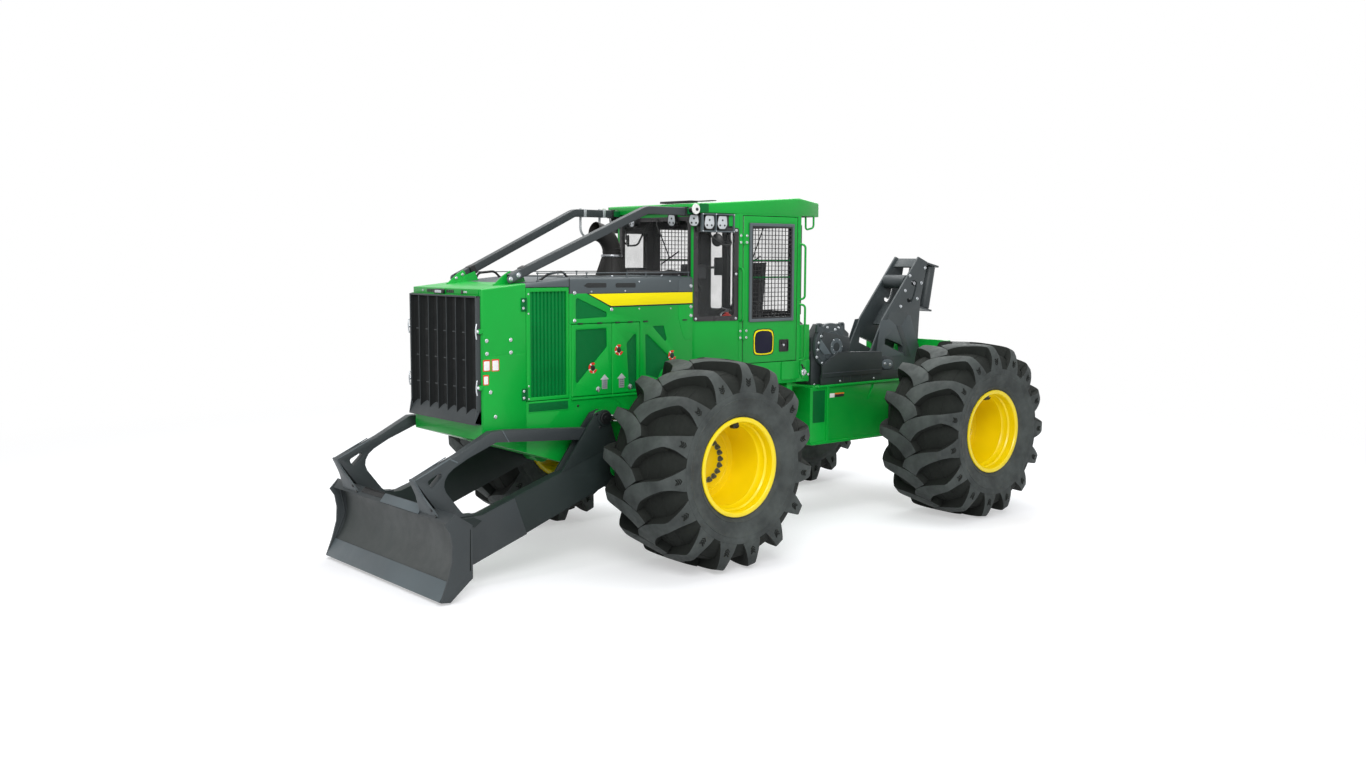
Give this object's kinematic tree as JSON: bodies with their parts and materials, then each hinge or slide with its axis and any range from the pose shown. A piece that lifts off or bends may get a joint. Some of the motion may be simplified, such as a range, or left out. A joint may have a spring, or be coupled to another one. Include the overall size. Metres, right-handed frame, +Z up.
{
  "type": "articulated cable skidder",
  "caption": "Four-wheel articulated forestry skidder with front blade, enclosed cab, winch and rear arch with fairlead rollers.",
  "frame": {"origin": "middle of the machine's length and width, on the ground", "axes": "+X forward along the machine, +Y to the driver's left, +Z up"},
  "size_m": [7.147, 3.516, 3.2918],
  "materials": {
    "green_paint": "gloss",
    "dark_band": "satin",
    "charcoal": "satin",
    "black_metal": "satin",
    "yellow_paint": "gloss",
    "tyre_rubber": "matt",
    "rod_chrome": "polished",
    "bare_steel": "brushed",
    "cast_block": "matt",
    "cooler_core": "matt",
    "clear_glass": "clear",
    "seat_fabric": "woven",
    "dark_plastic": "grained"
  },
  "bodies": {
    "front_section": {"front_frame": "green_paint", "front_axle": "green_paint", "belly_guard": "green_paint", "nose_housing": "green_paint", "grille": "black_metal", "cooling_pack": "cooler_core", "engine_block": "cast_block", "hood_top": "dark_band", "hood_sides": "green_paint", "guard_pipe_left": "charcoal", "guard_pipe_right": "charcoal", "exhaust_stack": "black_metal", "cab_frame": "green_paint", "cab_glass": "clear_glass", "cab_roof": "green_paint", "seat_base": "dark_plastic", "seat_cushion": "seat_fabric", "seat_backrest": "seat_fabric", "console": "dark_plastic"},
    "rear_section": {"rear_frame": "green_paint", "rear_axle": "green_paint", "winch_housing": "charcoal", "winch_guards": "charcoal", "arch": "charcoal", "butt_plate": "green_paint"},
    "blade_assembly": {"blade": "charcoal", "push_arms": "charcoal", "blade_guards": "charcoal"},
    "winch_drum": {"winch_drum": "charcoal"},
    "top_roller": {"top_roller": "bare_steel"},
    "wheel_front_left": {"tyre_front_left": "tyre_rubber", "rim_front_left": "yellow_paint"},
    "wheel_front_right": {"tyre_front_right": "tyre_rubber", "rim_front_right": "yellow_paint"},
    "wheel_rear_left": {"tyre_rear_left": "tyre_rubber", "rim_rear_left": "yellow_paint"},
    "wheel_rear_right": {"tyre_rear_right": "tyre_rubber", "rim_rear_right": "yellow_paint"},
    "cab_door_left": {"cab_door_left": "green_paint", "door_glass_left": "clear_glass"},
    "louvre_door_left": {"louvre_door_left": "green_paint"},
    "front_engine_door_left": {"front_engine_door_left": "green_paint"},
    "rear_engine_door_left": {"rear_engine_door_left": "green_paint"},
    "lift_barrel_left": {"lift_barrel_left": "charcoal"},
    "lift_rod_left": {"lift_rod_left": "rod_chrome"},
    "steer_barrel_left": {"steer_barrel_left": "charcoal"},
    "steer_rod_left": {"steer_rod_left": "rod_chrome"},
    "guide_roller_left": {"guide_roller_left": "bare_steel"},
    "cab_door_right": {"cab_door_right": "green_paint", "door_glass_right": "clear_glass"},
    "louvre_door_right": {"louvre_door_right": "green_paint"},
    "front_engine_door_right": {"front_engine_door_right": "green_paint"},
    "rear_engine_door_right": {"rear_engine_door_right": "green_paint"},
    "lift_barrel_right": {"lift_barrel_right": "charcoal"},
    "lift_rod_right": {"lift_rod_right": "rod_chrome"},
    "steer_barrel_right": {"steer_barrel_right": "charcoal"},
    "steer_rod_right": {"steer_rod_right": "rod_chrome"},
    "guide_roller_right": {"guide_roller_right": "bare_steel"}
  },
  "joints": [
    {"name": "articulation", "type": "hinge", "parent": "front_section", "child": "rear_section", "pos_m": [-0.8025, 0, 1.045], "axis": [0, 0, 1], "range_deg": [-45, 45]},
    {"name": "blade_lift", "type": "hinge", "parent": "front_section", "child": "blade_assembly", "pos_m": [1.5975, 0, 0.85], "axis": [0, -1, 0], "range_deg": [-5, 32]},
    {"name": "wheel_front_left_spin", "type": "hinge", "parent": "front_section", "child": "wheel_front_left", "pos_m": [0.9975, 1.31, 0.915], "axis": [0, 1, 0], "continuous": true},
    {"name": "wheel_front_right_spin", "type": "hinge", "parent": "front_section", "child": "wheel_front_right", "pos_m": [0.9975, -1.31, 0.915], "axis": [0, 1, 0], "continuous": true},
    {"name": "wheel_rear_left_spin", "type": "hinge", "parent": "rear_section", "child": "wheel_rear_left", "pos_m": [-2.6025, 1.31, 0.915], "axis": [0, 1, 0], "continuous": true},
    {"name": "wheel_rear_right_spin", "type": "hinge", "parent": "rear_section", "child": "wheel_rear_right", "pos_m": [-2.6025, -1.31, 0.915], "axis": [0, 1, 0], "continuous": true},
    {"name": "cab_door_left_hinge", "type": "hinge", "parent": "front_section", "child": "cab_door_left", "pos_m": [0.0185, 0.675, 2.395], "axis": [0, 0, -1], "range_deg": [0, 95]},
    {"name": "louvre_door_left_hinge", "type": "hinge", "parent": "front_section", "child": "louvre_door_left", "pos_m": [2.407, 0.5625, 1.96], "axis": [0, 0, 1], "range_deg": [-95, 0]},
    {"name": "front_engine_door_left_hinge", "type": "hinge", "parent": "front_section", "child": "front_engine_door_left", "pos_m": [1.943, 0.5625, 1.8045], "axis": [0, 0, 1], "range_deg": [-95, 0]},
    {"name": "rear_engine_door_left_hinge", "type": "hinge", "parent": "front_section", "child": "rear_engine_door_left", "pos_m": [1.501, 0.5625, 1.8045], "axis": [0, 0, 1], "range_deg": [-95, 0]},
    {"name": "lift_barrel_left_swing", "type": "hinge", "parent": "front_section", "child": "lift_barrel_left", "pos_m": [0.7975, 0.69, 1.2], "axis": [0, -1, 0], "range_deg": [-1, 4]},
    {"name": "lift_rod_left_slide", "type": "slide", "parent": "lift_barrel_left", "child": "lift_rod_left", "axis": [0.9934, 0, 0.1144], "range_m": [-0.262, 0.042]},
    {"name": "steer_barrel_left_swing", "type": "hinge", "parent": "front_section", "child": "steer_barrel_left", "pos_m": [-0.2425, 0.2, 1.045], "axis": [0, 0, 1], "range_deg": [-8, 8]},
    {"name": "steer_rod_left_slide", "type": "slide", "parent": "steer_barrel_left", "child": "steer_rod_left", "axis": [-0.9996, -0.0294, 0], "range_m": [-0.14, 0.14]},
    {"name": "guide_roller_left_spin", "type": "hinge", "parent": "rear_section", "child": "guide_roller_left", "pos_m": [-3.4435, 0.115, 2.368], "axis": [-0.2017, 0, 0.9795], "continuous": true},
    {"name": "cab_door_right_hinge", "type": "hinge", "parent": "front_section", "child": "cab_door_right", "pos_m": [0.0185, -0.675, 2.395], "axis": [0, 0, 1], "range_deg": [0, 95]},
    {"name": "louvre_door_right_hinge", "type": "hinge", "parent": "front_section", "child": "louvre_door_right", "pos_m": [2.407, -0.5625, 1.96], "axis": [0, 0, -1], "range_deg": [-95, 0]},
    {"name": "front_engine_door_right_hinge", "type": "hinge", "parent": "front_section", "child": "front_engine_door_right", "pos_m": [1.943, -0.5625, 1.8045], "axis": [0, 0, -1], "range_deg": [-95, 0]},
    {"name": "rear_engine_door_right_hinge", "type": "hinge", "parent": "front_section", "child": "rear_engine_door_right", "pos_m": [1.501, -0.5625, 1.8045], "axis": [0, 0, -1], "range_deg": [-95, 0]},
    {"name": "lift_barrel_right_swing", "type": "hinge", "parent": "front_section", "child": "lift_barrel_right", "pos_m": [0.7975, -0.69, 1.2], "axis": [0, -1, 0], "range_deg": [-1, 4]},
    {"name": "lift_rod_right_slide", "type": "slide", "parent": "lift_barrel_right", "child": "lift_rod_right", "axis": [0.9934, 0, 0.1144], "range_m": [-0.262, 0.042]},
    {"name": "steer_barrel_right_swing", "type": "hinge", "parent": "front_section", "child": "steer_barrel_right", "pos_m": [-0.2425, -0.2, 1.045], "axis": [0, 0, 1], "range_deg": [-8, 8]},
    {"name": "steer_rod_right_slide", "type": "slide", "parent": "steer_barrel_right", "child": "steer_rod_right", "axis": [-0.9996, 0.0294, 0], "range_m": [-0.14, 0.14]},
    {"name": "guide_roller_right_spin", "type": "hinge", "parent": "rear_section", "child": "guide_roller_right", "pos_m": [-3.4435, -0.115, 2.368], "axis": [-0.2017, 0, 0.9795], "continuous": true},
    {"name": "winch_drum_spin", "type": "hinge", "parent": "rear_section", "child": "winch_drum", "pos_m": [-1.5925, 0, 1.69], "axis": [0, 1, 0], "continuous": true},
    {"name": "top_roller_spin", "type": "hinge", "parent": "rear_section", "child": "top_roller", "pos_m": [-3.0425, 0, 2.435], "axis": [0, 1, 0], "continuous": true}
  ],
  "couplings": [
    {"joint": "lift_barrel_left_swing", "follows": "blade_lift", "ratio": 0.115},
    {"joint": "lift_rod_left_slide", "follows": "blade_lift", "m_per_rad": -0.4675},
    {"joint": "steer_barrel_left_swing", "follows": "articulation", "ratio": 0.165},
    {"joint": "steer_rod_left_slide", "follows": "articulation", "m_per_rad": 0.1775},
    {"joint": "lift_barrel_right_swing", "follows": "blade_lift", "ratio": 0.115},
    {"joint": "lift_rod_right_slide", "follows": "blade_lift", "m_per_rad": -0.4675},
    {"joint": "steer_barrel_right_swing", "follows": "articulation", "ratio": 0.165},
    {"joint": "steer_rod_right_slide", "follows": "articulation", "m_per_rad": -0.1775}
  ]
}
